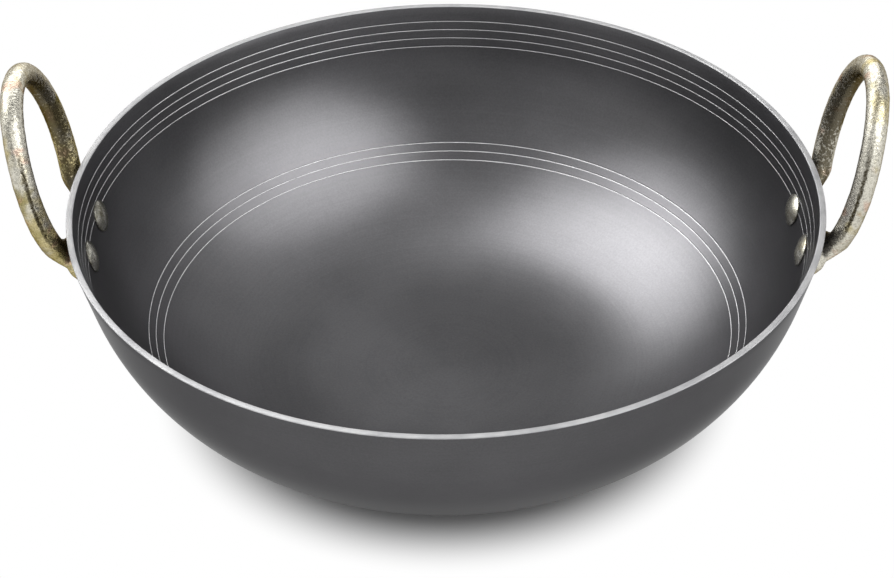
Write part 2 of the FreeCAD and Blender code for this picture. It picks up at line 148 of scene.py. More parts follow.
class Graph:
    """The node graph of a material or of the world."""

    def __init__(self, owner: Union[bpy.types.Material, bpy.types.World]) -> None:
        """Empty the owner's node tree.

        Args:
            owner: the material or world to give nodes.
        """
        owner.use_nodes = True
        self.owner = owner
        self.tree = owner.node_tree
        self.tree.nodes.clear()

    def add(self, kind: str, settings: dict, inputs: dict) -> bpy.types.Node:
        """Add a node of any kind.

        Args:
            kind: the node's type name.
            settings: its properties, set before its sockets.
            inputs: a value or a linked Number for each socket, by name or place.

        Returns:
            The node.
        """
        made = self.tree.nodes.new(kind)
        for name, value in settings.items():
            setattr(made, name, value)
        for name, value in inputs.items():
            if isinstance(value, Number):
                self.tree.links.new(value.socket, made.inputs[name])
            else:
                made.inputs[name].default_value = value
        return made

    def node(self, kind: str, settings: dict, inputs: dict, output: Union[int, str] = 0) -> Number:
        """Add a node of any kind and give one of its outputs, by name or place."""
        return Number(self, self.add(kind, settings, inputs).outputs[output])

    def place(self) -> Number:
        """The point on the piece, in the part's frame."""
        return self.node("ShaderNodeTexCoord", {}, {}, "Object")

    def parts(self, vector: Number) -> tuple[Number, Number, Number]:
        """The three numbers of a vector."""
        first = self.node("ShaderNodeSeparateXYZ", {}, {0: vector}, 0)
        sockets = first.socket.node.outputs
        return first, Number(self, sockets[1]), Number(self, sockets[2])

    def radius(self, place: Number) -> Number:
        """Distance of a point from the bowl's axis."""
        across, along, _ = self.parts(place)
        return (across * across + along * along) ** 0.5

    def noise(self, place: Number, grain: float, detail: float = 2, rough: float = 0.5) -> Number:
        """Cloudy noise from 0 to 1, by the size of its features, its finer levels and their strength."""
        inputs = {"Vector": place, "Scale": 1 / grain, "Detail": detail, "Roughness": rough}
        return self.node("ShaderNodeTexNoise", {"noise_dimensions": "3D"}, inputs)

    def turned(self, place: Number, grain: float) -> Number:
        """Noise in rings about the bowl's axis, as marks of a lathe of a given width."""
        _, _, height = self.parts(place)
        return self.noise(self.node("ShaderNodeCombineXYZ", {}, {0: self.radius(place), 2: height}), grain)

    def mix(self, share: Number, first: Union[Colour, Number], second: Colour) -> Number:
        """A colour between two others, the first of which may come from a node."""
        start = first if isinstance(first, Number) else (*first, 1)
        return self.node("ShaderNodeMix", {"data_type": "RGBA"}, {0: share, 6: start, 7: (*second, 1)}, 2)

    def bump(self, height: Number, depth: float, strength: float) -> Number:
        """A surface normal that follows a height, of which 1 stands for a depth in metres."""
        return self.node("ShaderNodeBump", {}, {"Height": height, "Distance": depth, "Strength": strength})

    def close(self, shader: Number) -> None:
        """Send a shader to the graph's output."""
        of_world = isinstance(self.owner, bpy.types.World)
        self.add("ShaderNodeOutputWorld" if of_world else "ShaderNodeOutputMaterial", {}, {"Surface": shader})

    def principled(self, inputs: dict) -> bpy.types.Material:
        """Close the graph with a Principled shader of the given inputs, and give its material."""
        self.close(self.node("ShaderNodeBsdfPrincipled", {}, inputs))
        return self.owner


# Finishes


@dataclass(frozen=True)
class Anodised:
    """Satin dark grey hard anodising on turned aluminium."""

    name: str = "dark_anodising"
    dark: Colour = (0.085, 0.084, 0.088)
    light: Colour = (0.114, 0.1125, 0.1175)
    edge: Colour = (0.31, 0.31, 0.31)
    metal: float = 0.7
    roughness: float = 0.31
    cloud: float = 0.045
    grain: float = 0.0008
    turning: float = 0.0009
    relief: float = 0.00004
    relief_share: float = 0.4

    def material(self) -> bpy.types.Material:
        """Build the material.

        Returns:
            A new material with cloudy tone, fine grain and faint turning marks.
        """
        graph = Graph(bpy.data.materials.new(self.name))
        place = graph.place()
        turned = graph.turned(place, self.turning)
        cloud = graph.noise(place, self.cloud, 4, 0.55)
        grain = graph.noise(place, self.grain, 2, 0.6)
        tone = (cloud * 0.45 + grain * 0.4 + turned * 0.15).step(0.3, 0.7)
        return graph.principled(
            {
                "Base Color": graph.mix(tone, self.dark, self.light),
                "Roughness": cloud * 0.05 + grain * 0.06 + (self.roughness - 0.055),
                "Metallic": self.metal,
                "Specular Tint": (*self.edge, 1),
                "Normal": graph.bump(grain + turned * 0.3, self.relief, self.relief_share),
            }
        )


@dataclass(frozen=True)
class BareAluminium:
    """Bare aluminium, cut on a lathe."""

    name: str
    colour: Colour
    dull: Colour
    metal: float
    roughness: float
    turning: float = 0.00025
    patch: float = 0.012
    relief: float = 0.00003
    relief_share: float = 0.4

    def material(self) -> bpy.types.Material:
        """Build the material.

        Returns:
            A new material with fine marks around the axis and slightly duller patches.
        """
        graph = Graph(bpy.data.materials.new(self.name))
        place = graph.place()
        turned = graph.turned(place, self.turning)
        patch = graph.noise(place, self.patch, 3)
        return graph.principled(
            {
                "Base Color": graph.mix(patch.step(0.35, 0.75), self.colour, self.dull),
                "Metallic": self.metal,
                "Roughness": turned * 0.14 + patch * 0.1 + (self.roughness - 0.1),
                "Normal": graph.bump(turned, self.relief, self.relief_share),
            }
        )


@dataclass(frozen=True)
class PassivatedSteel:
    """Pitted steel rod under a yellow passivated plating, silver outside, with painted shade and dark
    reflection on the ring's inner side.
    """

    name: str
    gold: float
    waist_height: float
    rise_above: float
    drop_below: float
    half_width: float
    rod_share: float
    foot: Flat
    lean: float
    silver: Colour = (0.70, 0.675, 0.585)
    straw: Colour = (0.58, 0.50, 0.27)
    olive: Colour = (0.30, 0.26, 0.10)
    rose: Colour = (0.66, 0.42, 0.31)
    # dark colour of patina flecks, also used as painted shade and dark reflection on the ring's inner side
    patina_and_shade_colour: Colour = (0.068, 0.054, 0.027)
    # dark colour of pits and creases, also used for the painted dark reflection line along the rod
    crevice_and_reflection_colour: Colour = (0.050, 0.040, 0.020)
    edge: Colour = (0.35, 0.30, 0.22)
    roughness: float = 0.27
    patch: float = 0.015
    # the fold fields place a line that is a relief groove and a painted dark reflection line
    fleck: float = 0.0010
    fold_width: float = 0.0010
    fold_turn: float = 0.0018
    fold_rise: float = 0.004
    fold_reach: float = 0.026
    fold_sway: float = 0.0014
    bluntness: float = 0.68
    waist_blend: float = 0.001
    relief: float = 0.0003
    relief_share: float = 0.7

    def ring(self, graph: Graph, place: Number) -> Number:
        """Distance from the middle of the ring, which is 1 on the rod's middle line.

        The ring is read as half an ellipse above its waist and as a blunt point below it.

        Args:
            graph: the graph to add nodes to.
            place: the point.

        Returns:
            The distance, less than 1 on the inner side of the rod.
        """
        _, across, height = graph.parts(place)
        wide = across * (1 / self.half_width)
        rise = height - self.waist_height
        around = []
        for reach, bend in ((self.rise_above, 1.0), (self.drop_below, self.bluntness)):
            tall = rise * (1 / reach)
            around.append(((wide * wide) ** bend + (tall * tall) ** bend) ** (0.5 / bend))
        above = rise.step(-self.waist_blend, self.waist_blend)
        return around[0] * above + around[1] * (1 - above)

    def fold_and_reflection_line(self, graph: Graph, place: Number, sway: Number) -> Number:
        """A thin line along the outer side of the rod, about the waist of the ring: a groove in relief and a
        painted dark reflection line in colour.

        Args:
            graph: the graph to add nodes to.
            place: the point.
            sway: noise that moves the line to and fro.

        Returns:
            1 on the line, 0 away from it.
        """
        reach, _, height = graph.parts(place)
        out = (reach * reach) ** 0.5 - self.foot[0] - (height - self.foot[1]) * math.tan(self.lean)
        off = out + self.fold_turn + (sway - 0.5) * self.fold_sway
        rise = height - self.waist_height - self.fold_rise
        near = 1 - (off * off).step(0.0, self.fold_width ** 2)
        return near * (1 - (rise * rise).step(0.0, self.fold_reach ** 2))

    def plating(self, graph: Graph, place: Number, low: Number) -> Number:
        """Colour of the plating.

        Args:
            graph: the graph to add nodes to.
            place: the point.
            low: 0 at the top of the ring, 1 at its lower end.

        Returns:
            Silver, with drifts of straw and olive that grow downwards and spots of rose.
        """
        gold = low * self.gold
        patch = graph.noise(place, self.patch, 3, 0.6)
        drift = graph.noise(place, self.patch * 0.8, 3, 0.65)
        blush = graph.noise(place, self.patch * 0.6, 2)
        colour = graph.mix((patch + gold * 0.26).step(0.54, 0.74), self.silver, self.straw)
        colour = graph.mix((drift + gold * 0.14).step(0.60, 0.74) * 0.7, colour, self.olive)
        return graph.mix(blush.step(0.57, 0.68) * 0.6, colour, self.rose)

    def material(self) -> bpy.types.Material:
        """Build the material.

        Returns:
            A new material with drifting plating colours, dark patina flecks, painted shade and dark reflection
            on the ring's inner side, a rough grain, fine creases, and a fold along the rod at the waist that
            is a relief groove with a painted dark reflection line.
        """
        graph = Graph(bpy.data.materials.new(self.name))
        place = graph.place()
        fleck = graph.noise(place, self.fleck, 3, 0.6)
        curl = graph.noise(place, self.fleck * 1.5, 2)
        crease = 1 - ((curl - 0.5) * (curl - 0.5)).step(0.0, 0.0018)
        ring = self.ring(graph, place)
        # the ring's inner side, where painted shade and dark reflection are put
        inside = 1 - ring.step(1 - self.rod_share, 1 + 0.35 * self.rod_share)
        _, _, height = graph.parts(place)
        low = 1 - height.step(self.waist_height - 0.3 * self.drop_below, self.waist_height + self.rise_above)
        # share of the dark colour: patina flecks all over, plus painted shade and dark reflection on the
        # ring's inner side
        flecks_and_inner_shade = (inside * 0.72 + fleck * 1.9 - 0.95).step(0.28, 0.60)
        colour = graph.mix(flecks_and_inner_shade * 0.9, self.plating(graph, place, low), self.patina_and_shade_colour)
        # the fold: a relief groove and a painted dark reflection line along the outer side of the rod
        fold_and_reflection_line = self.fold_and_reflection_line(graph, place, curl) * ring.step(1.0, 1 + 0.6 * self.rod_share)
        grain = 1 - fleck.step(0.36, 0.52)
        # darkening towards the dark colour: pits and creases, plus the painted dark reflection line of the
        # fold
        hollow = grain * 0.3 + crease * 0.16 + fold_and_reflection_line * 0.85
        return graph.principled(
            {
                "Base Color": graph.mix(hollow, colour, self.crevice_and_reflection_colour),
                "Metallic": 1.0,
                "Roughness": fleck * 0.2 + flecks_and_inner_shade * 0.06 + (self.roughness - 0.1),
                "Specular Tint": (*self.edge, 1),
                "Normal": graph.bump(fleck - crease * 0.2 - fold_and_reflection_line * 0.6, self.relief, self.relief_share),
            }
        )


@dataclass(frozen=True)
class AgedRivet:
    """Dull grey rivet metal with a little olive tarnish."""

    name: str = "aged_rivet"
    clean: Colour = (0.62, 0.61, 0.54)
    tarnish: Colour = (0.17, 0.155, 0.11)
    roughness: float = 0.27
    patch: float = 0.0045
    grain: float = 0.0007
    relief: float = 0.0002
    relief_share: float = 0.5

    def material(self) -> bpy.types.Material:
        """Build the material.

        Returns:
            A new material, mottled and faintly dented.
        """
        graph = Graph(bpy.data.materials.new(self.name))
        place = graph.place()
        patch = graph.noise(place, self.patch, 4, 0.6)
        grain = graph.noise(place, self.grain, 3, 0.6)
        tarnish = (patch * 0.7 + grain * 0.3).step(0.38, 0.66)
        return graph.principled(
            {
                "Base Color": graph.mix(tarnish, self.clean, self.tarnish),
                "Metallic": 1.0,
                "Roughness": tarnish * 0.15 + grain * 0.1 + (self.roughness - 0.1),
                "Normal": graph.bump(patch * 0.6 + grain * 0.4, self.relief, self.relief_share),
            }
        )


# Modelling helpers


def deselect_all() -> None:
    """Deselect every object, so that an operator acts on what is chosen next."""
    for item in bpy.context.view_layer.objects:
        item.select_set(False)


def pick(item: Item) -> None:
    """Select one object alone and make it active."""
    deselect_all()
    item.select_set(True)
    bpy.context.view_layer.objects.active = item


def new_from(operator: Callable, name: str, **options: Any) -> Item:
    """Add a primitive with nothing else selected.

    Args:
        operator: the operator that adds it.
        name: name of the new object and of its mesh.
        options: the operator's own options.

    Returns:
        The new object, with its place in its mesh.
    """
    deselect_all()
    operator(**options)
    item = bpy.context.active_object
    item.name = name
    item.data.name = name
    bpy.ops.object.transform_apply()
    return item


def edit(item: Item) -> None:
    """Open one object in edit mode."""
    pick(item)
    bpy.ops.object.mode_set(mode="EDIT")


def edit_edges(item: Item) -> None:
    """Open one object in edit mode to pick edges, with none selected."""
    edit(item)
    bpy.ops.mesh.select_mode(type="EDGE")
    bpy.ops.mesh.select_all(action="DESELECT")


def leave() -> None:
    """Go back to object mode."""
    bpy.ops.object.mode_set(mode="OBJECT")


def select_points(item: Item, test: Callable[[Vector], bool]) -> None:
    """In edit mode, select the points whose place passes a test, and the edges and faces between them."""
    bpy.ops.mesh.select_all(action="DESELECT")
    leave()
    for point in item.data.vertices:
        point.select = test(point.co)
    bpy.ops.object.mode_set(mode="EDIT")
    bpy.ops.mesh.select_mode(type="VERT")


def add_modifier(item: Item, kind: str, **settings: Any) -> None:
    """Add a modifier to an object and apply it.

    Args:
        item: the object.
        kind: the modifier's type.
        settings: its properties.
    """
    pick(item)
    made = item.modifiers.new(kind.lower(), kind)
    for name, value in settings.items():
        setattr(made, name, value)
    bpy.ops.object.modifier_apply(modifier=made.name)


def apply_frame(item: Item, matrix: Matrix) -> None:
    """Move an object's mesh by a matrix, leaving the object at the origin."""
    pick(item)
    item.matrix_world = matrix
    bpy.ops.object.transform_apply()


def join(into: Item, others: Iterable[Item]) -> None:
    """Join other objects into one."""
    pick(into)
    for item in others:
        item.select_set(True)
    bpy.ops.object.join()


def copy_of(item: Item, name: str) -> Item:
    """Copy an object with a mesh of its own.

    Args:
        item: the object to copy.
        name: name of the copy.

    Returns:
        The copy.
    """
    made = item.copy()
    made.data = item.data.copy()
    made.name = name
    made.data.name = name
    bpy.context.scene.collection.objects.link(made)
    return made


def clean(item: Item, gap: float = 1e-6) -> None:
    """Merge doubles and turn every face outwards."""
    edit(item)
    bpy.ops.mesh.select_all(action="SELECT")
    bpy.ops.mesh.remove_doubles(threshold=gap)
    bpy.ops.mesh.normals_make_consistent(inside=False)
    leave()


def turn(name: str, section: Sequence[Flat], segments: int) -> Item:
    """Turn a section about the Z axis, ring by ring.

    Args:
        name: name of the object.
        section: radius and height of each ring, from one end of the axis to the other.
        segments: sides of each ring.

    Returns:
        A closed turned object.
    """
    radius, height = section[0]
    circle = bpy.ops.mesh.primitive_circle_add
    start = (0, 0, height)
    item = new_from(circle, name, vertices=segments, radius=radius, location=start, fill_type="TRIFAN")
    edit_edges(item)
    bpy.ops.mesh.select_non_manifold()
    for next_radius, next_height in section[1:]:
        rise = {"value": (0, 0, next_height - height)}
        bpy.ops.mesh.extrude_edges_move(TRANSFORM_OT_translate=rise)
        scale = next_radius / radius
        bpy.ops.transform.resize(value=(scale, scale, 1), center_override=(0, 0, next_height))
        radius, height = next_radius, next_height
    bpy.ops.mesh.merge(type="CENTER")
    leave()
    clean(item)
    return item


def rounded_corner(before: Flat, corner: Flat, after: Flat, radius: float, steps: int) -> list[Flat]:
    """Points of a round that takes the place of a corner.

    Args:
        before: a point on the line into the corner.
        corner: the sharp corner.
        after: a point on the line out of it.
        radius: radius of the round.
        steps: number of pieces in the round.

    Returns:
        The points of the round, in order.
    """
    tip = Vector(corner)
    back = (Vector(before) - tip).normalized()
    ahead = (Vector(after) - tip).normalized()
    half = back.angle(ahead) / 2
    centre = tip + (back + ahead).normalized() * (radius / math.sin(half))
    first = tip + back * (radius / math.tan(half)) - centre
    last = tip + ahead * (radius / math.tan(half)) - centre
    start = math.atan2(first.y, first.x)
    sweep = (math.atan2(last.y, last.x) - start + math.pi) % (2 * math.pi) - math.pi
    points = []
    for step in range(steps + 1):
        angle = start + sweep * step / steps
        points.append((centre.x + radius * math.cos(angle), centre.y + radius * math.sin(angle)))
    return points


def dress(item: Item, materials: Sequence[bpy.types.Material], node: str) -> None:
    """Give a piece its materials and its body, and hide the CAD node that it stands for.

    Args:
        item: the piece.
        materials: its materials, in the order of its faces' numbers.
        node: the CAD node.
    """
    for material in materials:
        item.data.materials.append(material)
    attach(item, BODY)
    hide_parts(node)
    log.info("%s: %d faces", item.name, len(item.data.polygons))


# Bowl


@dataclass
class Bowl:
    """The turned bowl: flat base, round belly, flared wall, bare rim and fine lines cut inside."""

    rim_radius: float = 0.150
    height: float = 0.090
    flare: float = math.radians(14)
    flare_depth: float = 0.0195
    wall: float = 0.0025
    rim_round: float = 0.0005
    rim_steps: int = 4
    rim_share: float = 0.95
    floor_middle: float = 0.0013
    dish_angle: float = math.radians(22)
    line_width: float = 0.00032
    line_depth: float = 0.00005
    line_share: float = 0.98
    upper_line_drop: float = 0.0068
    upper_line_pitch: float = 0.00375
    upper_lines: int = 4
    lower_line_drop: float = 0.057
    lower_line_pitch: float = 0.0029
    lower_lines: int = 3
    segments: int = 288
    wall_step: float = 0.0035
    crease: float = math.radians(28)
    anodising: Anodised = Anodised()
    rim_metal: BareAluminium = BareAluminium(
        name="bare_rim", colour=(0.50, 0.50, 0.505), dull=(0.34, 0.34, 0.35), metal=0.15, roughness=0.50
    )
    line_metal: BareAluminium = BareAluminium(
        name="cut_line", colour=(0.72, 0.72, 0.725), dull=(0.58, 0.58, 0.59), metal=0.25, roughness=0.45
    )

    @property
    def belly_radius(self) -> float:
        """Radius of the belly's outside in section."""
        return (self.height - self.flare_depth) / (1 - math.sin(self.flare))

    @property
    def inner_belly(self) -> float:
        """Radius of the belly's inside in section."""
        return self.belly_radius - self.wall

    @property
    def straight(self) -> float:
        """Length of the straight part of the inner wall."""
        return self.flare_depth / math.cos(self.flare) - self.wall * math.tan(self.flare)

    @property
    def base_radius(self) -> float:
        """Radius of the flat base."""
        run = self.flare_depth * math.tan(self.flare) + self.belly_radius * math.cos(self.flare)
        return self.rim_radius - run

    def outer_wall(self, drop: float) -> tuple[float, float]:
        """Radius of the outer wall and its angle from the vertical, at a depth below the rim."""
        if drop <= self.flare_depth:
            return self.rim_radius - drop * math.tan(self.flare), self.flare
        angle = math.asin((self.belly_radius - self.height + drop) / self.belly_radius)
        return self.base_radius + self.belly_radius * math.cos(angle), angle

    def line_drops(self) -> list[float]:
        """Depth below the rim of each line cut inside."""
        upper = [self.upper_line_drop + step * self.upper_line_pitch for step in range(self.upper_lines)]
        lower = [self.lower_line_drop + step * self.lower_line_pitch for step in range(self.lower_lines)]
        return upper + lower

    def _inner_point(self, length: float, depth: float = 0.0) -> Flat:
        """A point on the inner wall, or cut into it.

        Args:
            length: distance down the wall from the rim's inner edge.
            depth: depth below the surface.

        Returns:
            Its radius and height.
        """
        edge = self.rim_radius - self.wall / math.cos(self.flare)
        if length <= self.straight:
            radius = edge - length * math.sin(self.flare) + depth * math.cos(self.flare)
            return radius, self.height - length * math.cos(self.flare) - depth * math.sin(self.flare)
        angle = self.flare + (length - self.straight) / self.inner_belly
        reach = self.inner_belly + depth
        return self.base_radius + reach * math.cos(angle), self.belly_radius - reach * math.sin(angle)

    def _dish(self) -> list[Flat]:
        """Section of the inside floor, which flattens out smoothly from the belly to its middle."""
        edge = self.base_radius + self.inner_belly * math.sin(self.dish_angle)
        rise = self.belly_radius - self.inner_belly * math.cos(self.dish_angle) - self.floor_middle
        power = edge * math.tan(self.dish_angle) / rise
        steps = round(edge / self.wall_step)
        shares = [1 - step / steps for step in range(steps)]
        return [(edge * share, self.floor_middle + rise * share ** power) for share in shares]

    def _line_length(self, drop: float) -> float:
        """Distance down the inner wall of a line, from its depth below the rim."""
        if drop <= self.straight * math.cos(self.flare):
            return drop / math.cos(self.flare)
        angle = math.asin((self.belly_radius - self.height + drop) / self.inner_belly)
        return self.straight + self.inner_belly * (angle - self.flare)

    def _outside(self) -> list[Flat]:
        """Section of the base and of the outer wall, from the middle up to the rim's outer edge."""
        points = [(self.base_radius * share, 0.0) for share in (0.3, 0.65, 1.0)]
        steps = round(self.belly_radius * (math.pi / 2 - self.flare) / self.wall_step)
        for step in range(1, steps + 1):
            angle = math.pi / 2 - (math.pi / 2 - self.flare) * step / steps
            radius = self.base_radius + self.belly_radius * math.cos(angle)
            points.append((radius, self.belly_radius * (1 - math.sin(angle))))
        for drop in (self.flare_depth * share for share in (0.75, 0.5, 0.25)):
            points.append((self.outer_wall(drop)[0], self.height - drop))
        return points

    def _rim(self) -> list[Flat]:
        """Section of the flat rim with its two rounded edges."""
        outer = (self.rim_radius, self.height)
        below = (self.outer_wall(self.flare_depth)[0], self.height - self.flare_depth)
        inner = self._inner_point(0)
        under = self._inner_point(self.wall)
        return [
            *rounded_corner(below, outer, inner, self.rim_round, self.rim_steps),
            *rounded_corner(outer, inner, under, self.rim_round, self.rim_steps),
        ]

    def _inside(self) -> list[Flat]:
        """Section of the inner wall with its cut lines, down to the middle of the floor."""
        whole = self.straight + self.inner_belly * (math.pi / 2 - self.flare - self.dish_angle)
        lines = [self._line_length(drop) for drop in self.line_drops()]
        stations = []
        steps = round(whole / self.wall_step)
        for step in range(1, steps):
            length = whole * step / steps
            if all(abs(length - line) > 2 * self.line_width for line in lines):
                stations.append((length, 0.0))
        cut = ((-1.6, 0), (-0.5, 0), (-0.25, 0.8), (0, 1), (0.25, 0.8), (0.5, 0), (1.6, 0))
        for line in lines:
            for place, depth in cut:
                stations.append((line + place * self.line_width, depth * self.line_depth))
        return [self._inner_point(length, depth) for length, depth in sorted(stations)] + self._dish()

    def _skin(self, face: bpy.types.MeshPolygon) -> Skin:
        """Which finish a face has: bare on the rim and in the cut lines, anodised elsewhere."""
        radius = math.hypot(face.center.x, face.center.y)
        drop = self.height - face.center.z
        if drop < self.rim_round * self.rim_share:
            return Skin.RIM
        middle = self.outer_wall(drop)[0] - self.wall / 2
        if radius > middle or radius < self.base_radius:
            return Skin.ANODISED
        reach = self.line_width / 2 * self.line_share
        for line in self.line_drops():
            if math.dist((radius, face.center.z), self._inner_point(self._line_length(line))) < reach:
                return Skin.LINE
        return Skin.ANODISED

    def build(self) -> Item:
        """Model the bowl.

        Returns:
            The bowl, with each face on the material of its skin.
        """
        item = turn("kadai_bowl", self._outside() + self._rim() + self._inside(), self.segments)
        for face in item.data.polygons:
            face.material_index = self._skin(face).value
        pick(item)
        bpy.ops.object.shade_smooth_by_angle(angle=self.crease)
        return item

    def dress(self, item: Item) -> None:
        """Give the bowl its finishes."""
        finishes = {Skin.ANODISED: self.anodising, Skin.RIM: self.rim_metal, Skin.LINE: self.line_metal}
        dress(item, [finishes[skin].material() for skin in Skin], "bowl")


# Rivets


@dataclass
class Rivet:
    """A rivet through the wall and a handle's end: domed head inside the bowl, closed head outside."""

    bowl: Bowl
    spacing: float = 0.0286
    drop: float = 0.021
    shank_radius: float = 0.003
    head_radius: float = 0.0065
    head_height: float = 0.0025
    head_edge: float = 0.0006
    tail_radius: float = 0.0042
    tail_height: float = 0.0022
    tail_edge: float = 0.0008
    tab_thickness: float = 0.0050
    seat: float = 0.00005
    edge_round: float = 0.0003
    segments: int = 64
    steps: int = 10
    crease: float = math.radians(40)
    finish: AgedRivet = AgedRivet()

    def frame(self, end: End, along: Vector) -> Matrix:
        """Frame of a rivet of the +X handle: on the outer wall, Z out, X near a given direction.

        Args:
            end: which end of the handle.
            along: direction of the handle's leg at its rear end.

        Returns:
            The frame as a matrix.
        """
        radius, angle = self.bowl.outer_wall(self.drop)
        around = end.value * math.asin(self.spacing / 2 / radius)
        level = Vector((math.cos(around), math.sin(around), 0))
        point = level * radius + Vector((0, 0, self.bowl.height - self.drop))
        out = level * math.cos(angle) - Vector((0, 0, math.sin(angle)))
        leg = Vector((along.x, end.value * along.y, along.z))
        side = out.cross(leg).normalized()
        turned = Matrix((side.cross(out), side, out)).transposed()
        return Matrix.Translation(point) @ turned.to_4x4()

    def _dome(self, radius: float, height: float, edge: float) -> list[Flat]:
        """Half section of a domed head on its seat, from its middle out to its underside.

        Args:
            radius: radius of the head.
            height: height of its middle above the seat.
            edge: height of its upright edge.

        Returns:
            Radius and height above the seat of each point.
        """
        rise = height - edge
        ball = (radius ** 2 + rise ** 2) / (2 * rise)
        half = math.asin(radius / ball)
        points = []
        for step in range(1, self.steps + 1):
            angle = half * step / self.steps
            points.append((ball * math.sin(angle), height - ball * (1 - math.cos(angle))))
        shoulder = rounded_corner(points[-2], points[-1], (radius, 0), self.edge_round, 3)
        foot = rounded_corner(points[-1], (radius, 0), (0, 0), self.edge_round * 0.5, 2)
        return points[:-1] + shoulder + foot

    def build(self) -> Item:
        """Model one rivet about the Z axis, its outer wall seat at the origin.

        Returns:
            The rivet, not yet in its place.
        """
        hollow = self.head_radius ** 2 / (2 * self.bowl.inner_belly)
        head_seat = -(self.bowl.wall + hollow + self.seat)
        tail_seat = self.tab_thickness + 2 * self.seat
        tail = [(r, tail_seat + z) for r, z in self._dome(self.tail_radius, self.tail_height, self.tail_edge)]
        head = [(r, head_seat - z) for r, z in self._dome(self.head_radius, self.head_height, self.head_edge)]
        shank = [(self.shank_radius, tail_seat), (self.shank_radius, head_seat)]
        item = turn("rivet", tail + shank + head[::-1], self.segments)
        pick(item)
        bpy.ops.object.shade_smooth_by_angle(angle=self.crease)
        return item


# Ring handles


@dataclass
class RingHandle:
    """A ring of pitted rod, leaning out, whose two ends are flattened on the wall and riveted."""

    bowl: Bowl
    rivet: Rivet
    rod_radius: float = 0.0044
    width: float = 0.0638
    height: float = 0.074
    lean: float = math.radians(11.5)
    top_turn: float = math.radians(45)
    leg_angle: float = math.radians(50)
    gap: float = 0.001
    tab_width: float = 0.0165
    tab_length: float = 0.0055
    tab_round: float = 0.0013
    neck_length: float = 0.0125
    neck_inset: float = 0.0006
    segments: int = 48
    bend_steps: int = 6
    tip_steps: int = 12
    tip_share: float = 0.999
    edge_steps: int = 5
    neck_cuts: int = 8
    neck_smoothness: float = 0.6
    merge_gap: float = 0.00001
    voxel: float = 0.00042
    smooth_passes: int = 4
    dent: float = 0.00022
    dent_grain: float = 0.0042
    pit: float = 0.00010
    pit_grain: float = 0.0011

    @property
    def up(self) -> Vector:
        """Direction up the ring's plane."""
        return Vector((math.sin(self.lean), 0, math.cos(self.lean)))

    @property
    def out(self) -> Vector:
        """Direction square to the ring's plane, away from the bowl."""
        return Vector((math.cos(self.lean), 0, -math.sin(self.lean)))

    @property
    def along(self) -> Vector:
        """Direction up the rear leg from its rivet."""
        return Vector((0, math.cos(self.leg_angle), 0)) + self.up * math.sin(self.leg_angle)

    @property
    def foot(self) -> Vector:
        """Middle of the ring at the rivets' height."""
        radius, angle = self.bowl.outer_wall(self.rivet.drop)
        standoff = (self.rod_radius + self.gap) / math.cos(angle)
        return Vector((radius + standoff, 0, self.bowl.height - self.rivet.drop))

    @property
    def leg_run(self) -> float:
        """How far out a leg goes, from its rivet to the widest place of the ring."""
        return self.width / 2 - self.rivet.spacing / 2

    @property
    def side_bend(self) -> float:
        """Radius of the side bend, on the rod's middle line."""
        legs = self.leg_run * math.tan(self.leg_angle)
        bends = self.height - legs - self.width / 2 * math.tan(self.top_turn / 2)
        share = math.cos(self.top_turn) + (1 - math.sin(self.leg_angle)) / math.cos(self.leg_angle)
        return bends / (share - (1 - math.sin(self.top_turn)) * math.tan(self.top_turn / 2))

    @property
    def top_bend(self) -> float:
        """Radius of the top bend, on the rod's middle line."""
        return (self.width / 2 - self.side_bend * (1 - math.sin(self.top_turn))) / math.sin(self.top_turn)

    @property
    def waist(self) -> float:
        """Height of the widest place above the rivets."""
        bend = self.side_bend * (1 - math.sin(self.leg_angle)) / math.cos(self.leg_angle)
        return bend + self.leg_run * math.tan(self.leg_angle)

    def at(self, across: float, rise: float) -> Vector:
        """A point in the ring's plane."""
        return self.foot + Vector((0, across, 0)) + self.up * rise

    def _rod(self) -> Item:
        """Half the rod: a circle at the top, spun round the two bends as far as the neck.

        Returns:
            The open tube of the rear half.
        """
        item = new_from(
            bpy.ops.mesh.primitive_circle_add,
            "handle",
            vertices=self.segments,
            radius=self.rod_radius,
            location=self.at(0, self.height),
            rotation=(math.pi / 2, 0, 0),
        )
        bend_run = self.side_bend * (1 - math.sin(self.leg_angle))
        leg_length = (self.leg_run - bend_run) / math.cos(self.leg_angle)
        neck_turn = (self.tab_length + self.neck_length - leg_length) / self.side_bend
        side_turn = math.pi - self.top_turn - self.leg_angle - neck_turn
        bends = (
            (self.at(0, self.height - self.top_bend), self.top_turn, self.top_bend),
            (self.at(self.width / 2 - self.side_bend, self.waist), side_turn, self.side_bend),
        )
        edit(item)
        bpy.ops.mesh.select_all(action="SELECT")
        for centre, angle, radius in bends:
            steps = round(angle * radius / (2 * self.rod_radius) * self.bend_steps)
            bpy.ops.mesh.spin(steps=steps, angle=angle, center=centre, axis=self.out)
        leave()
        return item

    def _tab(self, frame: Matrix) -> Item:
        """A flattened end: a slab with a round tip and rounded edges, on the wall.

        Args:
            frame: the rivet's frame.

        Returns:
            The slab in its place.
        """
        thickness = self.rivet.tab_thickness
        length = self.tab_length + self.tab_width
        item = new_from(
            bpy.ops.mesh.primitive_cube_add,
            "tab",
            size=1,
            location=(self.tab_length / 2, 0, self.rivet.seat + thickness / 2),
            scale=(length, self.tab_width, thickness),
        )
        edit_edges(item)
        leave()
        for edge in item.data.edges:
            first, second = (item.data.vertices[number].co for number in edge.vertices)
            edge.select = abs(first.z - second.z) > thickness / 2
        bpy.ops.object.mode_set(mode="EDIT")
        bpy.ops.mesh.bevel(offset=self.tab_width / 2 * self.tip_share, segments=self.tip_steps)
        for height in (self.rivet.seat, self.rivet.seat + thickness):
            select_points(item, lambda place, level=height: abs(place.z - level) < self.rivet.seat)
            bpy.ops.mesh.select_mode(type="FACE")
            bpy.ops.mesh.region_to_loop()
            bpy.ops.mesh.bevel(offset=self.tab_round, segments=self.edge_steps)
        leave()
        apply_frame(item, frame)
        return item

